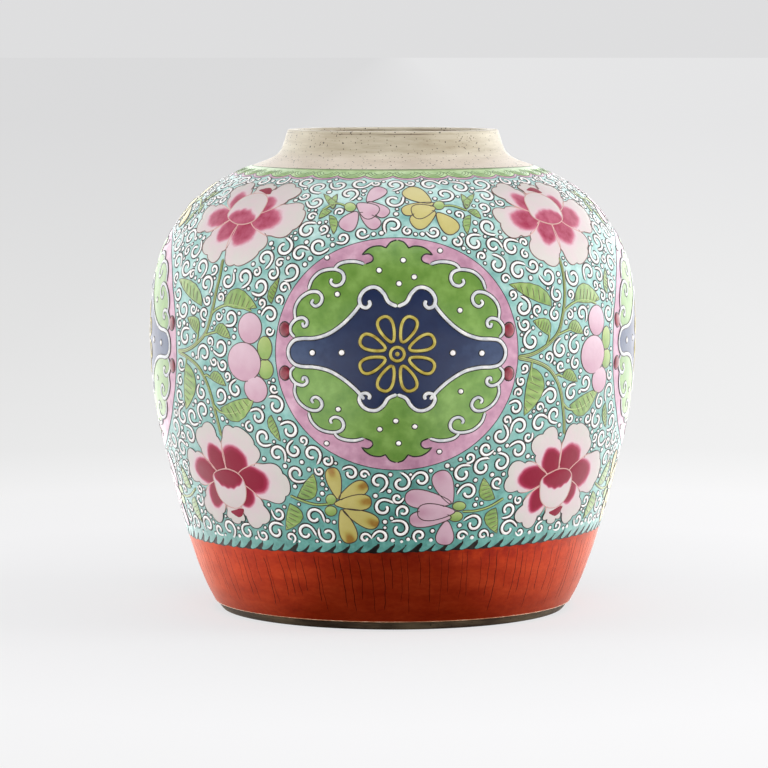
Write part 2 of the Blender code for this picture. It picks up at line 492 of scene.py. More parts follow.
def pad(piece, spot, outline, lift, crown=0.12, shoulder=1.6, tone=None, spacing=1.1):
    """A patch of enamel inside an outline: it rises from its edge to a soft crown, and its side runs down
    into the wall."""
    outline = np.asarray(outline, float)
    inner = grid_inside(outline, spacing, spacing * 0.45)
    flat = np.vstack([outline, inner])
    ring = list(range(len(outline)))
    area = np.sum(outline[:, 0] * np.roll(outline[:, 1], -1) - np.roll(outline[:, 0], -1) * outline[:, 1])
    face = ring if area > 0 else ring[::-1]
    made, _, triangles, _, _, _ = delaunay_2d_cdt([Vector(p) for p in flat.tolist()], [], [face], 1, 1e-4)
    made = np.array([tuple(p) for p in made])
    away = distance_to(made, outline)
    rise = crown * (1 - (1 - np.clip(away / shoulder, 0, 1)) ** 2)
    angle, along = spot.flat(made)
    tones = tone(made) if tone else 0.0
    top = [t[:3] for t in triangles if len(t) == 3]
    piece.add(WALL.place(angle, along, lift + rise), top, tones, spot.mirrored)
    angle, along = spot.flat(np.vstack([outline, outline]))
    depth = np.repeat([lift, TUCK], len(outline))
    size = len(outline)
    step = 1 if area > 0 else -1
    skirt = [(i, i + size, (i + 1) % size + size, (i + 1) % size)[::step] for i in range(size)]
    edge_tone = tone(np.vstack([outline, outline])) if tone else 0.0
    piece.add(WALL.place(angle, along, depth), skirt, edge_tone, spot.mirrored)


BEAD = ((-1.0, 0.0), (-0.72, 0.72), (0.0, 1.0), (0.72, 0.72), (1.0, 0.0))
FLAT = ((-1.0, 0.0), (-0.88, 1.0), (0.88, 1.0), (1.0, 0.0))


def ribbon(piece, spot, path, half, height, section=BEAD, tone=0.0, base=TUCK, round_ends=True):
    """A raised line of enamel along a path. half is its half width, as a number or one for each point."""
    path = np.asarray(path, float)
    half = np.broadcast_to(np.asarray(half, float), len(path)).copy()
    ahead = np.gradient(path, axis=0)
    ahead /= np.maximum(np.linalg.norm(ahead, axis=1), 1e-9)[:, None]
    side = np.stack([-ahead[:, 1], ahead[:, 0]], -1)
    crest = np.full(len(path), 1.0)
    if round_ends:
        run = np.concatenate([[0], np.cumsum(np.linalg.norm(np.diff(path, axis=0), axis=1))])
        near = np.minimum(run, run[-1] - run) / np.maximum(half, 1e-6)
        taper = np.sqrt(np.clip(1 - (1 - np.clip(near, 0.0, 1)) ** 2, 0.0025, 1))
        half, crest = half * taper, np.sqrt(taper)
    across = np.array([s[0] for s in section])
    up = np.array([s[1] for s in section])
    points = path[:, None] - side[:, None] * (half[:, None] * across)[..., None]
    lift = np.where(up > 0, (height * crest)[:, None] * up, base)
    angle, along = spot.flat(points.reshape(-1, 2))
    width = len(section)
    faces = [
        (row * width + k, row * width + k + 1, (row + 1) * width + k + 1, (row + 1) * width + k)
        for row in range(len(path) - 1)
        for k in range(width - 1)
    ]
    tones = np.repeat(np.broadcast_to(np.asarray(tone, float), len(path)), width)
    piece.add(WALL.place(angle, along, lift.ravel()), faces, tones, spot.mirrored)


DROP = ((0.55, 0.92), (0.86, 0.62), (1.0, 0.0))
DISC = ((0.5, 1.0), (0.93, 1.0), (1.0, 0.0))


def dot(piece, spot, centre, radius, height, base=TUCK, oval=1.0, sides=10, rings=DROP):
    """A round drop of enamel."""
    turns = np.arange(sides) * TAU / sides
    flat, lift = [centre], [height]
    for reach, up in rings:
        flat += [(centre[0] + radius * reach * math.cos(a), centre[1] + radius * oval * reach * math.sin(a)) for a in turns]
        lift += [height * up if up else base] * sides
    angle, along = spot.flat(flat)
    places = WALL.place(angle, along, np.array(lift))
    fan = [(0, 1 + k, 1 + (k + 1) % sides) for k in range(sides)]
    outer = [
        tri
        for ring in range(len(rings) - 1)
        for k in range(sides)
        for near, far in ((1 + ring * sides + k, 1 + ring * sides + (k + 1) % sides),)
        for tri in ((near, near + sides, far + sides), (near, far + sides, far))
    ]
    piece.add(places, fan + outer, 0.0, spot.mirrored)


# Which part of the turquoise is still free ---------------------------------------------------------


class Ground:
    """A map of the turquoise that tells how far each place is from anything painted on it."""

    CELL = 0.5

    def __init__(self, low, high):
        self.low = low
        self.rows = int((high - low) / self.CELL)
        self.columns = int(TAU * 100.9 / self.CELL)
        self.along = low + (np.arange(self.rows) + 0.5) * self.CELL
        self.angle = -math.pi + (np.arange(self.columns) + 0.5) * TAU / self.columns
        self.across = WALL.radius(self.along)
        self.room = np.full((self.rows, self.columns), 40.0)

    def clear_of_edges(self, low_edge, high_edge):
        self.room = np.minimum(self.room, self.along[:, None] - low_edge(self.angle)[None])
        self.room = np.minimum(self.room, high_edge(self.angle)[None] - self.along[:, None])

    def window(self, angle, along, reach):
        row = (along - self.low) / self.CELL
        rows = np.arange(max(int(row - reach / self.CELL), 0), min(int(row + reach / self.CELL) + 1, self.rows))
        if not len(rows):
            return None
        across = float(self.across[rows].min())
        column = (angle + math.pi) / TAU * self.columns
        wide = int(reach / across / TAU * self.columns) + 1
        columns = np.arange(int(column) - wide, int(column) + wide + 1)
        dv = (self.along[rows] - along)[:, None]
        du = ((columns + 0.5) * TAU / self.columns - math.pi - angle)[None] * self.across[rows][:, None]
        return rows, columns % self.columns, du, dv

    def block(self, spot, outline, grow=0.0, closed=True):
        """Marks a motif's outline, and its inside if it is closed, as painted."""
        outline = np.asarray(outline, float)
        inverse = np.linalg.inv(spot.matrix)
        placed = (spot.matrix @ outline.T).T
        centre = (placed.min(0) + placed.max(0)) / 2
        reach = float(np.linalg.norm(placed - centre, axis=1).max()) + grow + 9.0
        along = spot.along + centre[1]
        angle = spot.angle + centre[0] / float(WALL.radius(along))
        found = self.window(angle, along, reach)
        if found is None:
            return
        rows, columns, du, dv = found
        flat_u = du + (angle - spot.angle) * self.across[rows][:, None]
        flat_v = np.broadcast_to(dv + along - spot.along, flat_u.shape)
        points = np.stack([flat_u.ravel(), flat_v.ravel()], -1) @ inverse.T
        away = distance_to(points, outline, closed)
        if closed:
            away = np.where(is_inside(points, outline), -1.0, away)
        away = away.reshape(flat_u.shape) - grow
        index = np.ix_(rows, columns)
        self.room[index] = np.minimum(self.room[index], away)

    def block_disc(self, angle, along, radius):
        found = self.window(angle, along, radius + 8.0)
        if found is None:
            return
        rows, columns, du, dv = found
        index = np.ix_(rows, columns)
        self.room[index] = np.minimum(self.room[index], np.hypot(du, dv) - radius)

    def fill(self, radius, slack):
        """Yields places for discs of a radius that just touch what is already there."""
        order = random.Random(int(radius * 100))
        for _ in range(3):
            rows, columns = np.nonzero((self.room >= radius) & (self.room < radius + slack))
            picks = list(range(len(rows)))
            order.shuffle(picks)
            for pick in picks:
                row, column = rows[pick], columns[pick]
                if self.room[row, column] < radius:
                    continue
                angle, along = float(self.angle[column]), float(self.along[row])
                self.block_disc(angle, along, radius)
                yield angle, along


# Motifs --------------------------------------------------------------------------------------------


def arc(centre, radius, start, end, steps, squash=1.0):
    turns = np.radians(np.linspace(start, end, steps))
    return np.stack([centre[0] + radius * np.cos(turns), centre[1] + radius * squash * np.sin(turns)], -1)


def mirrored(points):
    return np.asarray(points, float) * (-1, 1)


def petal_outline(base, direction, length, width, lobes=1, depth=0.0, steps=44, blunt=0.58):
    """A petal from its base to a rounded or scalloped tip."""
    turn = np.linspace(0, TAU, steps, endpoint=False)
    x = (1 - np.cos(turn)) / 2
    broad = np.abs(np.sin(turn)) ** 0.85 * np.sign(np.sin(turn))
    y = broad * (0.42 + blunt * x) / (0.42 + blunt * 0.62) / 2
    if lobes > 1:
        tip = np.clip((x - 0.42) / 0.25, 0, 1)
        bumps = np.abs(np.cos((turn - math.pi) * lobes * 0.62)) ** 0.6
        if lobes % 2 == 0:
            bumps = np.abs(np.sin((turn - math.pi) * lobes * 0.62)) ** 0.6
        inward = depth * tip * (1 - bumps)
        x, y = x - inward * (x - 0.5) / length * 2, y - inward * y / width * 2.2
    heading = math.radians(direction)
    u = base[0] + x * length * math.cos(heading) - y * width * math.sin(heading)
    v = base[1] + x * length * math.sin(heading) + y * width * math.cos(heading)
    return np.stack([u, v], -1)


def petal_frame(points, base, direction, length, width):
    heading = math.radians(direction)
    du, dv = points[:, 0] - base[0], points[:, 1] - base[1]
    x = (du * math.cos(heading) + dv * math.sin(heading)) / length
    y = (-du * math.sin(heading) + dv * math.cos(heading)) / width
    return x, y


def smooth(value, low, high):
    t = np.clip((value - low) / (high - low), 0, 1)
    return t * t * (3 - 2 * t)


# The lower peony, from the back petals to the front: base, direction, length, width, lobes, crimson reach.
PEONY_PETALS = (
    ((-2.0, 1.5), 118, 22.0, 16.0, 4, 0.58),
    ((2.0, 1.6), 58, 22.0, 21.0, 5, 0.60),
    ((-6.5, 0.5), 172, 22.5, 16.0, 4, 0.70),
    ((6.0, 0.5), -4, 25.0, 18.5, 5, 0.62),
    ((-5.5, -2.5), 236, 20.0, 14.5, 4, 0.64),
    ((6.0, -2.5), -62, 20.0, 15.0, 4, 0.52),
    ((1.0, -9.0), 266, 11.5, 11.0, 5, 0.0),
)
PALER_PEONY = 1.2
PEONY_CUP = ((-8.8, 0.6), (-9.2, -4.0), (-7.6, -9.4), (-3.0, -12.9), (3.2, -13.0), (7.8, -9.4), (9.3, -4.4), (8.2, 0.6), (4.2, 3.2), (-2.0, 3.4))
PEONY_HEART = ((-2.2, -15.2), (1.2, -13.9), (4.2, -13.2), (6.0, -13.6), (4.4, -16.4), (1.6, -17.2))


def peony(spot, petals, lines, ground, faint):
    """A peony from its back petals to its cup. faint is how pale its outlines are, from 0 to 1."""
    for order, (base, direction, length, width, lobes, reach) in enumerate(PEONY_PETALS):
        length, width = length * dice.uniform(0.96, 1.05), width * dice.uniform(0.95, 1.05)
        outline = petal_outline(base, direction, length, width, lobes, dice.uniform(1.2, 1.9), 64)

        def tone(points, base=base, direction=direction, length=length, width=width, reach=reach):
            x, y = petal_frame(points, base, direction, length, width)
            ragged = 0.016 * np.sin(y * 11 + direction)
            if not reach:
                return np.clip(0.16 - 0.2 * x, 0, 1)
            depth = 1 - PALER_PEONY * faint
            patch = np.hypot((x + ragged - reach * 0.42) / (reach * 0.54), y / 0.31)
            return 0.96 * depth * (1 - smooth(patch, 0.62, 1.36)) + 0.10 * (1 - smooth(x, 0.6, 0.95))

        pad(petals, spot, outline, 0.10 + 0.05 * order, 0.18, 3.0, tone, 0.9)
        x, _ = petal_frame(outline, base, direction, length, width)
        closed = np.vstack([outline, outline[:1]])
        pale = np.maximum(1 - smooth(np.append(x, x[0]), 0.38, 0.62), faint)
        ribbon(lines, spot, closed, 0.17 + 0.05 * pale, 0.27 + 0.05 * order, FLAT, pale, round_ends=False)
        ground.block(spot, outline, 0.45)
    cup = curve_through(PEONY_CUP, 5, closed=True)

    def blush(points):
        dip = -4.4 + 0.05 * points[:, 0] ** 2 + 0.25 * np.sin(points[:, 0] * 1.7)
        return 0.95 * (1 - PALER_PEONY * faint) * smooth(points[:, 1], dip - 1.6, dip + 1.4 + 3 * faint) * (1 - smooth(np.abs(points[:, 0]), 6.8, 9.6)) + 0.08

    pad(petals, spot, cup, 0.50, 0.30, 3.0, blush, 0.8)
    ribbon(lines, spot, np.vstack([cup, cup[:1]]), 0.22, 0.64, FLAT, 0.9, round_ends=False)
    heart = curve_through(PEONY_HEART, 5, closed=True)
    pad(petals, spot, heart, 0.56, 0.12, 1.0, lambda p: np.ones(len(p)))


def leaf(spot, base, tip, width, side, blade, lines, ground, order=0, ribs=6):
    """A painted leaf: nearly all of its blade lies on one side of the midrib, with a sawn edge and ribs."""
    base, tip = np.array(base, float), np.array(tip, float)
    run = tip - base
    length = float(np.hypot(*run))
    ahead = run / length
    left = np.array([-ahead[1], ahead[0]]) * side
    t = np.linspace(0, 1, 22)
    sag = 0.10 * length * np.sin(math.pi * t)
    midrib = base + np.outer(t, run) - np.outer(sag * 0.6, left)
    saw = 0.35 * np.abs(np.sin(t * math.pi * 5))
    outer = base + np.outer(t, run) + np.outer(width * np.sin(math.pi * t**0.75) ** 0.8 - saw * np.sin(math.pi * t), left)
    outline = np.vstack([midrib, outer[::-1][1:-1]])

    def tone(points):
        along = (points - base) @ ahead / length
        return np.clip(0.75 - 0.5 * along + 0.22 * np.sin(along * 34), 0, 1)

    pad(blade, spot, outline, 0.14 + 0.03 * order, 0.14, 1.4, tone, 0.9)
    ribbon(lines, spot, np.vstack([outline, outline[:1]]), 0.15, 0.24, FLAT, 0.1, round_ends=False)
    for share in np.linspace(0.16, 0.80, ribs):
        start = np.array([np.interp(share, t, midrib[:, axis]) for axis in (0, 1)])
        stop = np.array([np.interp(min(share + 0.14, 0.97), t, outer[:, axis]) for axis in (0, 1)])
        ribbon(lines, spot, start + np.outer(np.linspace(0.04, 0.86, 6), stop - start), 0.12, 0.40, FLAT, 0.25)
    ground.block(spot, outline, 0.45)


def stem(spot, points, half, stalks, lines, ground):
    path = curve_through(points, 8)
    ribbon(lines, spot, path, half + 0.30, 0.12, FLAT, 0.1)
    ribbon(stalks, spot, path, half, 0.36, BEAD, 0.2)
    if half > 0.6:
        ribbon(lines, spot, path, 0.12, 0.42, FLAT, 0.35)
    ground.block(spot, path, half + 0.55, closed=False)


def flower(spot, petals, piece, lines, ground, blush, crown=0.14):
    """A small side-on flower: petals from back to front as base, direction, length and width."""
    for order, (base, direction, length, width) in enumerate(petals):
        outline = petal_outline(base, direction, length, width, steps=30, blunt=0.75)

        def tone(points, base=base, direction=direction, length=length, width=width):
            x, y = petal_frame(points, base, direction, length, width)
            return np.clip(0.25 + blush * smooth(x, 0.5, 0.9) * (1 - smooth(np.abs(y), 0.05, 0.4)), 0, 1)

        pad(piece, spot, outline, 0.12 + 0.04 * order, crown, 2.0, tone, 0.9)
        ribbon(lines, spot, np.vstack([outline, outline[:1]]), 0.20, 0.28 + 0.04 * order, FLAT, 0.1, round_ends=False)
        ground.block(spot, outline, 0.45)


def blob(spot, centre, radii, piece, lines, ground, lift=0.14, crown=0.3):
    outline = arc(centre, radii[0], 0, 360, 33, radii[1] / radii[0])[:-1]
    pad(piece, spot, outline, lift, crown, 3.0, lambda p: smooth(p[:, 1] - centre[1], radii[1], -radii[1]) * 0.5, 1.2)
    ribbon(lines, spot, np.vstack([outline, outline[:1]]), 0.20, lift + 0.08, FLAT, 0.15, round_ends=False)
    ground.block(spot, outline, 0.45)


# Right half of the medallion's upper green cloud, from its crest to the blue horn, as drawn.
CLOUD = (
    (0.4, 45.8), (2.6, 44.8), (4.4, 42.4), (4.4, 42.4), (6.6, 43.2), (9.6, 42.8), (12.0, 41.3), (13.6, 39.4), (13.6, 39.4),
    (11.0, 39.8), (9.4, 38.4), (9.8, 36.6), (12.2, 35.5), (16.0, 36.3), (19.6, 36.2), (22.6, 35.2), (24.4, 33.4), (24.4, 33.4),
    (29.6, 32.3), (33.4, 29.0), (35.0, 25.0), (35.0, 25.0), (38.8, 21.0), (40.7, 17.0), (40.4, 12.8), (40.4, 12.8),
    (42.3, 10.6), (42.4, 8.0), (40.4, 5.9), (37.0, 5.2), (34.0, 5.5), (28.5, 7.1),
)  # fmt: skip
# The cloud's edge beside the blue, from the arm to the horn: of the upper cloud, and of the lower one.
UPPER_EDGE = ((23.0, 10.7), (18.5, 14.8), (15.2, 18.6))
LOWER_EDGE = ((22.0, 9.9), (16.8, 13.6), (14.0, 17.2))
# White lines on the right half of the upper cloud: three curls with their sweeps, and the tail of the top one.
CLOUD_CURLS = (
    ((12.6, 35.4), (16.0, 36.4), (19.6, 36.3), (22.6, 35.3), (24.5, 33.4)),
    ((25.4, 29.6), (25.9, 27.9), (24.2, 26.6), (21.8, 27.4), (20.7, 29.8), (21.7, 32.2), (25.0, 33.2), (29.8, 32.2), (33.4, 29.0), (35.0, 24.8)),
    ((32.8, 21.2), (33.6, 19.6), (32.0, 18.4), (30.0, 19.6), (29.4, 22.0), (31.2, 24.0), (34.8, 23.7), (38.6, 21.0), (40.6, 17.0), (40.3, 12.6)),
    ((37.4, 12.0), (37.0, 10.4), (35.7, 10.8), (35.6, 12.6), (37.4, 13.7), (40.2, 12.9), (42.2, 10.6), (42.4, 8.0), (40.6, 5.8)),
)  # fmt: skip
# White edge of the blue: a horn that curls outwards, and the line from the horn around the end of the arm.
HORN = ((0.0, 18.6), (3.4, 20.4), (5.2, 23.6), (7.6, 25.9), (10.4, 26.1), (13.1, 24.5), (14.6, 21.6), (14.0, 18.9), (12.0, 18.1), (10.6, 19.4), (11.0, 21.2))
ARM = (
    (14.4, 20.6), (15.2, 18.6), (18.2, 14.9), (22.6, 10.7), (27.6, 7.5), (33.0, 5.8), (38.0, 5.5), (41.4, 4.8), (43.6, 2.6), (44.3, 0.1),
    (43.6, -2.6), (41.4, -4.8), (38.0, -5.6), (33.0, -5.7), (27.0, -7.0), (21.4, -10.1), (16.8, -13.8), (14.0, -16.8), (13.0, -18.2),
)  # fmt: skip
CLOUD_DOTS = ((7.0, 31.0), (1.4, 37.0), (0.2, 27.6), (24.6, 16.6), (-7.2, 32.4), (-23.6, 22.6))
LOW_HORN = 0.86
LOW_CLOUD = 0.955
PINK_DOTS = ((16.6, 41.2), (-27.5, 38.0))
ARM_DOTS = ((22.0, 0.3), (34.0, 0.0))
MEDALLION_RADIUS = 50.0
MEDALLION_SQUASH = 0.937
MEDALLION_TURN = 1.0


def medallion(number, azimuth, ground, pieces):
    tilt = dice.uniform(-0.8, 0.8)
    spot = Spot(azimuth + MEDALLION_TURN, MEDALLION_Z + 0.9, tilt)
    rim = arc((0, 0), MEDALLION_RADIUS, 0, 360, 181, MEDALLION_SQUASH)[:-1]
    pad(pieces["pink"], spot, rim, 0.10, 0.10, 2.0, spacing=2.0)
    closed = np.vstack([rim, rim[:1]])
    ribbon(pieces["line"], spot, closed * 1.002, 0.17, 0.16, FLAT, round_ends=False)
    ground.block(spot, rim, 0.9)
    low_horn = np.array(HORN) * (1, -LOW_HORN)
    half = curve_through([*HORN[:7], *ARM[1:-1], *low_horn[:7][::-1]], 5)
    blue = np.vstack([half, mirrored(half)[::-1][1:-1]])
    pad(pieces["blue"], spot, blue, 0.24, 0.16, 2.0, lambda p: 0.22 + 0.5 * smooth(np.abs(p[:, 0]), 16, 42), 1.8)
    for flip_v, horn_height, edge in ((1, 1.0, UPPER_EDGE), (-LOW_CLOUD, LOW_HORN / LOW_CLOUD, LOWER_EDGE)):
        part = Spot(azimuth + MEDALLION_TURN, MEDALLION_Z + 0.9, tilt, 1.0, 1.02, flip_v)
        cloud = curve_through([*CLOUD, *edge, *(np.array(HORN[:7]) * (1, horn_height))[::-1]], 4)
        both = np.vstack([cloud, mirrored(cloud)[::-1][1:-1]])
        pad(pieces["green"], part, both, 0.28, 0.16, 2.0, spacing=1.8)
        crest = curve_through(CLOUD[:13], 5)
        for side in (1, -1):
            ribbon(pieces["line"], part, crest * (side, 1), 0.30, 0.46, FLAT, round_ends=False)
            for index, curl in enumerate(CLOUD_CURLS):
                path = curve_through(np.array(curl) * (side, 1), 6)
                swell = 0.52 + 0.26 * np.sin(np.linspace(0.15, 1, len(path)) * math.pi * 0.9)
                ribbon(pieces["line"], part, path, swell + 0.32, 0.50, FLAT)
                ribbon(pieces["soft_white"], part, path, swell, 0.80)
            horn = curve_through(np.array(HORN) * (side, horn_height), 6)
            ribbon(pieces["line"], part, horn, 1.16, 0.52, FLAT)
            ribbon(pieces["soft_white"], part, horn, 0.86, 0.84)
        for place in CLOUD_DOTS:
            wander = (place[0] + dice.uniform(-1, 1), place[1] + dice.uniform(-1, 1))
            dot(pieces["line"], part, wander, 1.45, 0.54, rings=DISC)
            dot(pieces["white"], part, wander, 1.08, 0.88)
        for place in PINK_DOTS:
            dot(pieces["line"], part, place, 1.4, 0.32, rings=DISC)
            dot(pieces["white"], part, place, 1.02, 0.66)
        for side in (1, -1):
            dot(pieces["line"], part, (44.9 * side, 8.9), 2.8, 0.32, oval=1.25, sides=16, rings=DISC)
            dot(pieces["crimson"], part, (44.9 * side, 8.9), 2.45, 0.95, oval=1.25, sides=16)
    for side in (1, -1):
        arm = curve_through(np.array(ARM) * (side, 1), 6)
        ribbon(pieces["line"], spot, arm, 1.12, 0.52, FLAT)
        ribbon(pieces["soft_white"], spot, arm, 0.82, 0.84)
        for place in ARM_DOTS:
            dot(pieces["line"], spot, (place[0] * side, place[1]), 1.6, 0.50, sides=12, rings=DISC)
            dot(pieces["white"], spot, (place[0] * side, place[1]), 1.25, 0.78, sides=12)
    rosette(spot, pieces)


ROSETTE_PETALS = 8
ROSETTE_RING = 2.7
PETAL_START = 5.2
PETAL_LENGTH = 10.4
PETAL_WIDTH = 6.0


def rosette(spot, pieces):
    """A plain flower of eight petals drawn in line round a ring and a dot. It stands for nothing."""
    paths = [arc((0, 0), ROSETTE_RING, 0, 360, 41)]
    for number in range(ROSETTE_PETALS):
        turn = (number + 0.5) * TAU / ROSETTE_PETALS
        base = (PETAL_START * math.cos(turn), PETAL_START * math.sin(turn))
        petal = petal_outline(base, math.degrees(turn), PETAL_LENGTH, PETAL_WIDTH, steps=40)
        paths.append(np.vstack([petal, petal[:1]]))
    for path in paths:
        ribbon(pieces["line"], spot, path, 1.05, 0.54, FLAT, round_ends=False)
        ribbon(pieces["yellow"], spot, path, 0.74, 0.76, round_ends=False)
    dot(pieces["yellow"], spot, (0, 0), 1.0, 0.80, sides=12)


# The stems of one panel, from the right edge of the medallion on its left, and the leaves on them.
PANEL_STEMS = (
    (((-27.0, -0.4), (-20.0, 0.5), (-13.0, 3.4), (-7.0, 8.0), (-4.0, 14.0), (-2.0, 22.0), (-0.8, 31.0), (-1.0, 39.0)), 0.66),
    (((-27.0, -0.6), (-18.5, -2.6), (-11.5, -5.8), (-6.8, -11.0), (-4.0, -17.0), (-1.8, -25.0), (0.0, -33.5)), 0.66),
    (((-5.2, 11.0), (-3.0, 16.5), (3.0, 19.8), (10.0, 20.6), (18.5, 18.6)), 0.42),
    (((-3.2, -20.0), (1.0, -23.0), (8.0, -23.0), (15.0, -20.0), (20.5, -15.6)), 0.42),
    (((-8.5, 7.0), (-3.0, 8.6), (0.5, 9.4)), 0.38),
    (((-8.2, -9.2), (-6.0, -8.6), (-3.8, -9.6)), 0.38),
    (((-13.0, 3.6), (-11.5, 7.0), (-12.0, 10.0)), 0.38),
    (((-20.0, -2.2), (-20.4, -7.0), (-19.4, -11.0)), 0.38),
)
# base, tip, width of the blade, and the side it lies on.
PANEL_LEAVES = (
    ((-9.6, 19.0), (-29.0, 28.6), 5.4, -1),
    ((-11.6, 7.4), (-19.4, 13.6), 5.2, -1),
    ((-1.2, 9.6), (8.0, 7.0), 4.6, 1),
    ((3.5, 20.4), (20.8, 20.0), 7.2, 1),
    ((-20.6, -4.6), (-22.6, -24.0), 8.0, 1),
    ((-4.4, -9.4), (5.0, -12.2), 4.2, 1),
    ((1.2, -21.5), (19.6, -16.0), 7.4, -1),
)
GOURD = (((17.8, 11.8), (5.8, 6.2)), ((20.4, -12.4), (5.6, 5.4)), ((15.0, -1.8), (8.3, 7.8)))
GOURD_GREEN = (((25.2, 4.2), (3.4, 4.8)), ((25.4, -4.2), (3.6, 4.0)))
CORNER_LEAVES = (
    ((27.5, 22.0), (29.5, 32.5), 3.0, 1),
    ((27.0, -22.5), (30.0, -33.0), 3.4, -1),
    ((-23.0, 44.0), (-29.0, 53.0), 3.0, 1),
)

UPPER_PEONY_Z = 166.0
LOWER_PEONY_Z = 61.5
LOWER_YELLOW = (((-21.8, 3.0), 104, 13.6, 6.4), ((-21.6, 3.2), 30, 13.0, 6.6), ((-19.8, -1.4), -23, 15.4, 6.8), ((-20.6, -1.4), -73, 14.8, 7.2), ((-23.4, 0.9), 6, 15.0, 6.8))
LOWER_PINK = (((23.6, 1.6), 112, 15.0, 8.4), ((23.4, 2.0), 172, 18.8, 8.0), ((23.6, -4.0), 184, 17.0, 7.0), ((21.8, -5.6), 264, 10.4, 7.6), ((25.0, -1.6), 181, 15.2, 7.4))
UPPER_YELLOW = (((12.4, 0.6), 138, 13.4, 8.6), ((13.6, 0.4), 200, 13.8, 6.0), ((14.0, -4.4), 213, 11.4, 8.0), ((14.6, -5.0), -52, 12.0, 7.4), ((14.0, -2.4), 194, 9.8, 7.6))
UPPER_PINK = (((-13.0, 1.4), 54, 11.4, 6.8), ((-12.8, 1.4), -44, 10.6, 6.2), ((-17.2, -4.0), 236, 10.4, 7.2), ((-16.0, -4.6), -44, 10.0, 6.0), ((-17.0, 0.4), -40, 9.6, 8.4))
LOWER_LEAVES = (
    ((-39.2, 3.0), (-32.4, 13.4), 6.2, -1),
    ((-42.6, 0.0), (-44.4, -11.6), 6.8, 1),
    ((42.2, 3.2), (37.0, 12.4), 5.4, 1),
    ((42.8, -0.6), (43.6, -11.6), 5.6, -1),
)
SIDE_SPRIG = (((27.0, -3.0), (31.0, 6.0), 2.8, 1), ((27.0, -3.0), (25.0, 6.0), 2.6, -1), ((27.5, -4.0), (33.0, -8.0), 2.8, 1), ((28.6, -6.0), (27.0, -15.0), 3.0, -1))


def panel(azimuth, ground, pieces):
    spot = Spot(azimuth, PANEL_Z, dice.uniform(-1.2, 1.2), 1.0, 1, 1, (dice.uniform(-0.8, 0.8), dice.uniform(-0.8, 0.8)))
    for points, half in PANEL_STEMS:
        stem(spot, points, half, pieces["leaf"], pieces["motif_line"], ground)
    for order, (base, tip, width, side) in enumerate((*PANEL_LEAVES, *CORNER_LEAVES[:2])):
        leaf(spot, base, tip, width, side, pieces["leaf"], pieces["motif_line"], ground)
    for centre, radii in GOURD_GREEN:
        blob(spot, centre, radii, pieces["leaf"], pieces["motif_line"], ground)
    for order, (centre, radii) in enumerate(GOURD):
        blob(spot, centre, radii, pieces["flower_pink"], pieces["motif_line"], ground, 0.16 + 0.05 * order)
    upper = Spot(azimuth + 1, UPPER_PEONY_Z, dice.uniform(-3, 3), 0.98, 1, -1)
    lower = Spot(azimuth, LOWER_PEONY_Z, dice.uniform(-3, 3), 0.98)
    for flower_spot, faint in ((upper, 0.45), (lower, 0.0)):
        peony(flower_spot, pieces["peony"], pieces["motif_line"], ground, faint)


def sprays(azimuth, ground, pieces):
    """The two small flowers above a medallion and the two below it, with their stems."""
    lines, greens = pieces["motif_line"], pieces["leaf"]
    low = Spot(azimuth, 52.0, dice.uniform(-1.5, 1.5))
    high = Spot(azimuth + 2, 172.0, dice.uniform(-1.5, 1.5))
    stem(low, ((-25.0, 0.8), (-31.0, 0.2), (-37.0, 1.4), (-42.6, 3.4)), 0.4, greens, lines, ground)
    stem(low, ((28.0, -1.8), (34.0, -1.6), (40.0, 0.0), (46.4, 3.4)), 0.4, greens, lines, ground)
    stem(high, ((16.0, -1.5), (21.0, -1.2), (27.5, -4.2)), 0.4, greens, lines, ground)
    stem(high, ((-21.0, -1.0), (-26.0, 0.6), (-32.0, -3.6)), 0.4, greens, lines, ground)
    for base, tip, width, side in LOWER_LEAVES:
        leaf(low, base, tip, width, side, greens, lines, ground, ribs=5)
    for centre, radii in (((-24.9, 2.7), (2.2, 2.2)), ((-24.9, -2.2), (2.5, 2.2)), ((26.8, 0.6), (2.8, 1.9)), ((25.4, -3.8), (3.0, 2.2))):
        blob(low, centre, radii, greens, lines, ground)
    for centre, radii in (((15.6, -0.8), (2.3, 2.4)), ((-20.0, -1.4), (2.4, 2.5))):
        blob(high, centre, radii, greens, lines, ground)
    flower(low, LOWER_YELLOW, pieces["flower_yellow"], lines, ground, 0.9)
    flower(low, LOWER_PINK, pieces["flower_pink"], lines, ground, 0.35)
    flower(high, UPPER_YELLOW, pieces["flower_yellow"], lines, ground, 0.1)
    flower(high, UPPER_PINK, pieces["flower_pink"], lines, ground, 0.3)
    for side in (1, -1):
        sprig = Spot(azimuth + 2, 172.0, 0, 1.0, side, 1)
        for base, tip, width, turn in SIDE_SPRIG:
            leaf(sprig, base, tip, width, turn, greens, lines, ground, ribs=3)


# The borders ---------------------------------------------------------------------------------------

TEETH = 96
TOOTH = (
    (-0.50, 4.6), (-0.47, 3.0), (-0.54, 1.8), (-0.66, 0.8), (-0.70, 0.1), (-0.60, -0.3), (-0.42, -0.3), (-0.14, 0.3),
    (0.12, 1.3), (0.30, 2.2), (0.49, 3.0), (0.54, 4.6),
)  # fmt: skip
HAIRLINES = 132


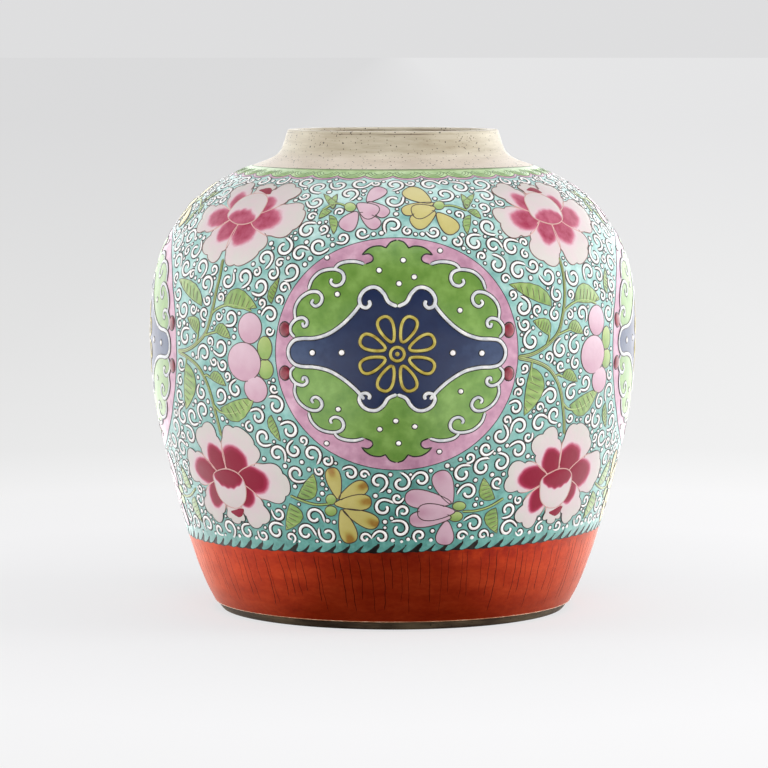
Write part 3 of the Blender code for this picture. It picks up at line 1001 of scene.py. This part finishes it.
def tooth_edge(pieces, sector):
    """Turquoise tongues that lean over a black edge, between the turquoise and the iron red."""
    pitch = TAU / TEETH
    black, turquoise, line = pieces["black"], pieces["turquoise"], pieces["line"]
    count = TEETH // 4
    angles = np.linspace(sector * math.pi / 2 - math.pi / 4, sector * math.pi / 2 + math.pi / 4, count * 8 + 1)
    rows = []
    for share in (0.0, 0.15, 0.5, 1.0):
        wave = 0.22 * np.sin(angles * TEETH) + 0.16 * np.sin(angles * 37 + 2)
        rows.append(edge_along(angles) - 0.75 + wave * (1 - share) + share * 4.4)
    along = np.stack(rows)
    lift = np.array([TUCK, 0.05, 0.06, 0.02])[:, None]
    places = WALL.place(angles[None], along, np.broadcast_to(lift, along.shape)).reshape(-1, 3)
    wide = len(angles)
    faces = [(r * wide + c, r * wide + c + 1, (r + 1) * wide + c + 1, (r + 1) * wide + c) for r in range(3) for c in range(wide - 1)]
    black.add(places, faces, 0.0)
    for index in range(count):
        angle = sector * math.pi / 2 - math.pi / 4 + (index + 0.5 + dice.uniform(-0.12, 0.12)) * pitch
        spot = Spot(math.degrees(angle), BAND_Z, 0, 1.0, 1, 1, (0, BAND_TILT * math.sin(angle) + dice.uniform(-0.12, 0.2)))
        stretch = (pitch * float(WALL.radius(spot.along)), dice.uniform(0.9, 1.15))
        outline = curve_through(np.array(TOOTH) * stretch, 4)
        pad(turquoise, spot, outline, 0.13, 0.10, 1.0, spacing=1.0)
        ribbon(line, spot, outline[4:-4], 0.16, 0.18, FLAT)


def hairlines(piece):
    """Fine cracks and brush drags down the iron red."""
    for index in range(HAIRLINES):
        angle = (index + dice.uniform(-0.3, 0.3)) * TAU / HAIRLINES
        top = float(edge_along(angle)) - dice.uniform(0.5, 3.5)
        bottom = dice.uniform(3.0, 12.0) if index % 3 else dice.uniform(8.0, 20.0)
        v = np.linspace(top, bottom, 14)
        lean = dice.uniform(0.4, 1.9)
        bend = dice.uniform(-0.5, 0.9)
        share = (v - bottom) / (top - bottom)
        u = -lean * share + bend * np.sin(share * math.pi) + 0.12 * np.sin(v * 0.9 + index)
        spot = Spot(math.degrees(angle), 3.7)
        ribbon(piece, spot, np.stack([u, v], -1), dice.uniform(0.07, 0.15), 0.02, FLAT, base=-0.01)


COLLAR_SCALLOPS = 36
SCALLOP_DEPTH = 2.5


def collar_edge(angle):
    """The scalloped lower edge of the green collar band: its lobes hang down between sharp notches."""
    return WALL.along(COLLAR_LOW_Z) + SCALLOP_DEPTH * (1 - np.abs(np.sin(angle * COLLAR_SCALLOPS / 2)) ** 0.7)


def collar_band(pieces):
    angles = np.linspace(-math.pi, math.pi, COLLAR_SCALLOPS * 20 + 1)
    low, high = collar_edge(angles), np.full(len(angles), WALL.along(COLLAR_TOP_Z))
    shares = (0.0, 0.001, 0.25, 0.5, 0.75, 0.999, 1.0)
    lifts = (TUCK, 0.08, 0.13, 0.14, 0.13, 0.08, TUCK)
    along = np.stack([low + (high - low) * share for share in shares])
    lift = np.repeat(np.array(lifts)[:, None], len(angles), 1)
    places = WALL.place(angles[None], along, lift).reshape(-1, 3)
    wide = len(angles)
    rows = len(shares) - 1
    faces = [(r * wide + c, r * wide + c + 1, (r + 1) * wide + c + 1, (r + 1) * wide + c) for r in range(rows) for c in range(wide - 1)]
    pieces["green_collar"].add(places, faces, 0.25)
    ring_line(pieces["pink_collar"], angles, low - 0.75, 0.65, 0.20)
    ring_line(pieces["line_collar"], angles, low - 1.5, 0.20, 0.10)
    ring_line(pieces["line_collar"], angles, low - 0.05, 0.16, 0.24)
    ring_line(pieces["line_collar"], angles, high - 0.05, 0.16, 0.17)
    for index in range(COLLAR_SCALLOPS):
        spot = Spot(math.degrees((index + 0.5) * TAU / COLLAR_SCALLOPS), COLLAR_LOW_Z)
        for width, drop in ((4.6, 1.0), (3.4, 2.0), (2.0, 3.0)):
            lobe = arc((0, 5.6), width, 180, 360, 18, (5.6 - drop) / width)
            ribbon(pieces["drawing"], spot, lobe, 0.17, 0.26, FLAT, 0.0)
        for side in (-1, 1):
            leaf_vein = curve_through([(side * 5.6, 2.6), (side * 5.3, 4.2), (side * 4.2, 5.4), (side * 2.8, 6.0)], 5)
            ribbon(pieces["drawing"], spot, leaf_vein, 0.15, 0.26, FLAT, 0.0)


def ring_line(piece, angles, along, half, height):
    """A line all the way around at a distance along the wall that may change with the angle."""
    sections = ((-1.0, TUCK), (-0.4, height), (0.4, height), (1.0, TUCK))
    rows = np.stack([along + half * across for across, _ in sections])
    lift = np.repeat(np.array([up for _, up in sections])[:, None], len(angles), 1)
    wide = len(angles)
    faces = [(r * wide + c, r * wide + c + 1, (r + 1) * wide + c + 1, (r + 1) * wide + c) for r in range(3) for c in range(wide - 1)]
    piece.add(WALL.place(angles[None], rows, lift).reshape(-1, 3), faces, 0.0)


# Scrolls -------------------------------------------------------------------------------------------


def scroll_path(radius, start, hand):
    """A curl that begins with a tail, winds in by about a turn, and ends in a drop."""
    share = np.linspace(0, 1, 24)
    turn = math.radians(start) + hand * share * TAU * 1.04
    reach = radius * (1 - 0.68 * share**1.35)
    reach = reach + radius * 0.26 * np.clip(1 - share / 0.14, 0, 1) ** 2
    return np.stack([reach * np.cos(turn), reach * np.sin(turn)], -1)


def scrolls(ground, sectors):
    def sector_of(angle):
        return sectors[int(((angle + math.pi / 4) % TAU) // (math.pi / 2))]

    for radius, slack in ((4.1, 0.4), (3.7, 0.35), (3.3, 0.35), (2.9, 0.35), (2.5, 0.4), (2.1, 0.4)):
        for angle, along in ground.fill(radius, slack):
            pieces = sector_of(angle)
            spot = Spot(math.degrees(angle), 0)
            spot.along, spot.angle = along, angle
            path = scroll_path(radius - 0.45, dice.uniform(0, 360), dice.choice((1, 1, -1)))
            share = np.linspace(0, 1, len(path))
            half = (0.48 + 0.22 * np.sin(share * math.pi) + 0.26 * smooth(share, 0.8, 1.0)) * (0.72 + 0.08 * radius)
            ribbon(pieces["line"], spot, path, half + 0.54, 0.10, FLAT)
            ribbon(pieces["white"], spot, path, half * 0.94, 0.28)
    for radius, slack in ((1.45, 0.8), (1.2, 0.8), (0.95, 0.8)):
        for angle, along in ground.fill(radius, slack):
            if dice.random() > 0.86:
                continue
            pieces = sector_of(angle)
            spot = Spot(math.degrees(angle), 0)
            spot.along, spot.angle = along, angle
            size = radius * dice.uniform(0.58, 0.70)
            dot(pieces["line"], spot, (0, 0), size + 0.48, 0.10, rings=DISC)
            dot(pieces["white"], spot, (0, 0), size, 0.34)


# The turned surfaces -------------------------------------------------------------------------------


def turned(name, outline, look, closed_top=None, bumpy=True):
    """A smooth turned surface. Its outline is (radius, height) in millimetres, with the outer side to the
    right of the way it runs up."""
    outline = np.asarray(outline, float)
    angles = np.arange(SEGMENTS) * TAU / SEGMENTS
    places = np.stack(
        [
            outline[:, 0][:, None] * np.sin(angles),
            -outline[:, 0][:, None] * np.cos(angles),
            np.repeat(outline[:, 1][:, None], SEGMENTS, 1),
        ],
        -1,
    )
    piece = Enamel(name, look)
    faces = [
        (r * SEGMENTS + c, r * SEGMENTS + (c + 1) % SEGMENTS, (r + 1) * SEGMENTS + (c + 1) % SEGMENTS, (r + 1) * SEGMENTS + c)
        for r in range(len(outline) - 1)
        for c in range(SEGMENTS)
    ]
    piece.add(places.reshape(-1, 3) * MM, faces, 0.0)
    return piece.make()


def wall_surface(name, low, high, look, step=1.4):
    """The stretch of the outer wall between two places along it, with its faint ridges."""
    angles = np.arange(SEGMENTS) * TAU / SEGMENTS
    low, high = (edge(angles) if callable(edge) else edge for edge in (low, high))
    low, high = np.broadcast_arrays(low, high, angles)[:2]
    rows = np.linspace(low, high, int((high - low).max() / step) + 2)
    places = WALL.place(angles[None], rows, 0.0)
    piece = Enamel(name, look)
    faces = [
        (r * SEGMENTS + c, r * SEGMENTS + (c + 1) % SEGMENTS, (r + 1) * SEGMENTS + (c + 1) % SEGMENTS, (r + 1) * SEGMENTS + c)
        for r in range(len(rows) - 1)
        for c in range(SEGMENTS)
    ]
    piece.add(places.reshape(-1, 3), faces, 0.0)
    return piece.make()


def inner_side():
    """The wall's inner side, from the floor up to the lip."""
    keep = (WALL.z > 25) & (WALL.z < 192)
    r, z = WALL.r[keep] - BODY_WALL * WALL.out_r[keep], WALL.z[keep] - BODY_WALL * WALL.out_z[keep]
    rise = [(0, FLOOR_Z), (20, FLOOR_Z), (40, FLOOR_Z), (54, FLOOR_Z + 0.3), (64, FLOOR_Z + 2.2), (72, FLOOR_Z + 5.6), (76.4, FLOOR_Z + 9.5)]
    wall = np.stack([r, z], -1)[::6]
    wall = wall[wall[:, 0] > BORE_RADIUS + 0.8]
    bore = [(BORE_RADIUS, 193.5), (BORE_RADIUS, 196.5)]
    return curve_through([*rise, *wall, *bore], 2)


def jar_surfaces():
    seam = WALL.along(COLLAR_TOP_Z)
    body = wall_surface("turquoise_ground", edge_along, seam, "turquoise")
    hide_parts("lower_body", "upper_body")
    foot_top = 0.1
    red = wall_surface("iron_red_band", foot_top, edge_along, "iron_red")
    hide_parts("foot_and_base")
    wall_surface("neck_wall", seam, WALL.s[-1], "neck", 0.7)
    lip = [(WALL.r[-1], WALL.z[-1]), *arc((RIM_RADIUS - 1.0, HEIGHT - 1.0), 1.0, 0, 90, 7), *arc((BORE_RADIUS + 1.0, HEIGHT - 1.0), 1.0, 90, 180, 7)]
    lip = turned("neck_lip", [*lip, (BORE_RADIUS, 197.0), (BORE_RADIUS, 192.5)], "neck")
    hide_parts("neck_collar")
    turned("glazed_inside", inner_side()[::-1], "clear")
    edge = float(WALL.radius(foot_top))
    ledge = [(0, RECESS_Z), (30, RECESS_Z), (58.5, RECESS_Z), (61.2, RECESS_Z - 0.4), (62.4, 1.2), (63.2, 0.25), (64.0, 0.0), (70.4, 0.0)]
    turned("foot_ring", [*ledge, (71.5, 0.25), (72.2, 1.0), (73.2, 2.5), (74.0, 3.3), (edge, 3.7)], "foot")
    # A thin ring on the ledge where the glaze stops, coloured pale as a painted highlight.
    turned("glaze_edge", arc((edge - 0.06, 3.72), 0.2, -90, 110, 8), "edge")


# Making it all -------------------------------------------------------------------------------------


def make_jar():
    jar_surfaces()
    ground = Ground(WALL.along(30), WALL.along(184))
    ground.clear_of_edges(lambda angle: edge_along(angle) + 3.2, lambda angle: collar_edge(angle) - 1.8)
    sectors = []
    looks = ("pink", "blue", "green", "yellow", "crimson", "white", "soft_white", "line", "black", "turquoise")
    for number in range(4):
        sectors.append({look: Enamel(f"{look}_{number}", look) for look in looks})
        motifs = ("leaf", "motif_line", "peony", "flower_pink", "flower_yellow")
        sectors[-1].update({look: Enamel(f"{look}_{number}", look) for look in motifs})
    for number, pieces in enumerate(sectors):
        medallion(number, 90 * number, ground, pieces)
        sprays(90 * number, ground, pieces)
        panel(90 * number + 45, ground, pieces)
        tooth_edge(pieces, number)
    scrolls(ground, sectors)
    collar = {
        "green_collar": Enamel("green_collar", "collar"),
        "pink_collar": Enamel("pink_collar", "pink"),
        "line_collar": Enamel("line_collar", "line"),
        "drawing": Enamel("collar_drawing", "green_line"),
    }
    collar_band(collar)
    lines = Enamel("band_hairlines", "hairline")
    hairlines(lines)
    for piece in (*collar.values(), lines, *(piece for pieces in sectors for piece in pieces.values())):
        piece.make()


# Floor, light and camera ---------------------------------------------------------------------------

CAMERA_DISTANCE = 1.66
CAMERA_HEIGHT = 0.236
AIM = Vector((-0.0037, 0.0, 0.0934))
LENS = 186.4


BACKDROP = (0.732, 0.732, 0.738)
PAPER = (0.955, 0.951, 0.960)
FLOOR_REACH = 60.0


def floor_paper():
    """White paper. The camera sees it evenly lit, a little brighter to the right and dimmer far away. The jar
    is lit by less of it, as if the table were short and dark in front."""
    shader = Shader("pale_floor_paper", 0.8, 0.0)
    tree = shader.tree

    def ranged(source, low, high, start, stop):
        node = tree.nodes.new("ShaderNodeMapRange")
        for socket, value in (("From Min", low), ("From Max", high), ("To Min", start), ("To Max", stop)):
            node.inputs[socket].default_value = value
        shader.link(source, node, "Value")
        return node.outputs["Result"]

    path = tree.nodes.new("ShaderNodeLightPath").outputs
    seen = path["Is Camera Ray"]
    reach = tree.nodes.new("ShaderNodeVectorMath")
    reach.operation = "LENGTH"
    shader.link(shader.place, reach, 0)
    away = reach.outputs["Value"]
    shader.colour(shader.mix(seen, (TABLE_BOUNCE,) * 3, (0.86, 0.86, 0.87)))
    share = shader.maths("DIVIDE", away, shader.maths("ADD", away, 1.2))
    glow = tree.nodes.new("ShaderNodeEmission")
    shader.link(shader.ramp(share, [(0.20, PAPER), (0.36, (0.831,) * 3), (0.62, (0.784,) * 3), (0.90, BACKDROP)]), glow, "Color")
    split = tree.nodes.new("ShaderNodeSeparateXYZ")
    shader.link(shader.place, split, 0)
    aside = shader.maths("ABSOLUTE", split.outputs["X"], 0.0)
    mirrored_light = shader.maths("MULTIPLY", ranged(aside, 0.035, 0.16, 0.0, FLOOR_SHEEN), path["Is Glossy Ray"])
    strength = shader.maths("MULTIPLY", ranged(split.outputs["X"], -0.3, 0.3, 0.965, 1.075), seen)
    shader.link(shader.maths("ADD", strength, mirrored_light), glow, "Strength")
    blend = tree.nodes.new("ShaderNodeMixShader")
    even = shader.maths("MULTIPLY", ranged(away, 0.08, 0.45, 0.66, 1.0), seen)
    shader.link(shader.maths("ADD", even, path["Is Glossy Ray"]), blend, 0)
    shader.link(shader.main.outputs[0], blend, 1)
    shader.link(glow.outputs[0], blend, 2)
    shader.link(blend.outputs[0], tree.nodes["Material Output"], "Surface")
    return shader.material


def make_floor():
    """A pale floor that runs to the horizon."""
    radii = [0.15, 0.4, 0.8, 1.5, 3.0, 6.0, 12.0, 25.0, FLOOR_REACH]
    segments = 96
    turns = np.arange(segments) * TAU / segments
    places = [(r * math.cos(a), r * math.sin(a), 0) for r in radii for a in turns]
    faces = [
        (r * segments + c, (r + 1) * segments + c, (r + 1) * segments + (c + 1) % segments, r * segments + (c + 1) % segments)
        for r in range(len(radii) - 1)
        for c in range(segments)
    ]
    mesh = bpy.data.meshes.new("pale_floor")
    mesh.from_pydata(places, [], [*faces, tuple(range(segments))])
    mesh.materials.append(floor_paper())
    floor = bpy.data.objects.new("pale_floor", mesh)
    bpy.context.scene.collection.objects.link(floor)


def make_world():
    """A bright tent at the sides, above and behind, darker in front where the camera stands."""
    world = bpy.data.worlds.new("studio")
    world.use_nodes = True
    tree = world.node_tree
    tent = tree.nodes["Background"]
    direction = tree.nodes.new("ShaderNodeSeparateXYZ")
    tree.links.new(tree.nodes.new("ShaderNodeTexCoord").outputs["Generated"], direction.inputs[0])

    def ranged(source, low, high, start, stop):
        node = tree.nodes.new("ShaderNodeMapRange")
        node.interpolation_type = "SMOOTHSTEP"
        for socket, value in (("From Min", low), ("From Max", high), ("To Min", start), ("To Max", stop)):
            node.inputs[socket].default_value = value
        tree.links.new(direction.outputs[source], node.inputs["Value"])
        return node.outputs["Result"]

    def joined(operation, a, b):
        node = tree.nodes.new("ShaderNodeMath")
        node.operation = operation
        for socket, value in enumerate((a, b)):
            if isinstance(value, (int, float)):
                node.inputs[socket].default_value = value
            else:
                tree.links.new(value, node.inputs[socket])
        return node.outputs[0]

    path = tree.nodes.new("ShaderNodeLightPath").outputs
    fill = joined("MULTIPLY", ranged("Y", -0.9, 0.8, FRONT_LIGHT, BACK_LIGHT), ranged("Z", 0.0, 0.6, 1.0, CEILING_SHARE))
    around = joined("MULTIPLY", ranged("Y", -0.85, 0.25, 0.0, SIDE_SHEEN), ranged("X", -1.0, 1.0, 0.84, 1.16))
    around = joined("MULTIPLY", around, ranged("Y", 0.2, 0.9, 1.0, BEHIND_SHARE))
    around = joined("MULTIPLY", around, ranged("Z", 0.2, 0.8, 1.0, 0.0))
    sheen = joined("ADD", around, ranged("Z", 0.60, 0.93, 0.0, CEILING_SHEEN))
    extra = joined("MULTIPLY", joined("SUBTRACT", sheen, fill), path["Is Glossy Ray"])
    tree.links.new(joined("ADD", fill, extra), tent.inputs["Strength"])
    tent.inputs["Color"].default_value = (0.97, 0.985, 1.0, 1)
    plain = tree.nodes.new("ShaderNodeBackground")
    plain.inputs["Color"].default_value = (*BACKDROP, 1)
    blend = tree.nodes.new("ShaderNodeMixShader")
    tree.links.new(tree.nodes.new("ShaderNodeLightPath").outputs["Is Camera Ray"], blend.inputs[0])
    tree.links.new(tent.outputs[0], blend.inputs[1])
    tree.links.new(plain.outputs[0], blend.inputs[2])
    tree.links.new(blend.outputs[0], tree.nodes["World Output"].inputs["Surface"])
    bpy.context.scene.world = world


TABLE_BOUNCE = 0.40
FRONT_LIGHT = 0.05
BACK_LIGHT = 0.85
CEILING_SHARE = 0.65
SIDE_SHEEN = 6.3
BEHIND_SHARE = 0.6
CEILING_SHEEN = 5.0
FLOOR_SHEEN = 4.1


def area_light(name, place, target, size, watts):
    """A softbox that is not mirrored in the glaze."""
    data = bpy.data.lights.new(name, "AREA")
    data.shape = "RECTANGLE"
    data.size, data.size_y = size
    data.energy = watts
    light = bpy.data.objects.new(name, data)
    light.location = place
    light.visible_glossy = False
    light.rotation_euler = (Vector(target) - Vector(place)).to_track_quat("-Z", "Y").to_euler()
    bpy.context.scene.collection.objects.link(light)


def make_studio():
    scene = bpy.context.scene
    scene.view_settings.view_transform = "Standard"
    make_floor()
    make_world()
    area_light("front_fill", (0, -1.6, 0.42), (0, 0, 0.1), (1.4, 0.3), 20)
    area_light("left_fill", (-1.25, -0.1, 0.4), (0, 0, 0.1), (0.6, 0.8), 6.5)
    area_light("right_fill", (1.25, -0.1, 0.4), (0, 0, 0.1), (0.6, 0.8), 10)
    camera = bpy.data.cameras.new("camera")
    camera.lens = LENS
    camera.sensor_width = 36
    viewer = bpy.data.objects.new("camera", camera)
    viewer.location = (0, -CAMERA_DISTANCE, CAMERA_HEIGHT)
    viewer.rotation_euler = (AIM - viewer.location).to_track_quat("-Z", "Y").to_euler()
    scene.collection.objects.link(viewer)
    scene.camera = viewer


make_jar()
make_studio()
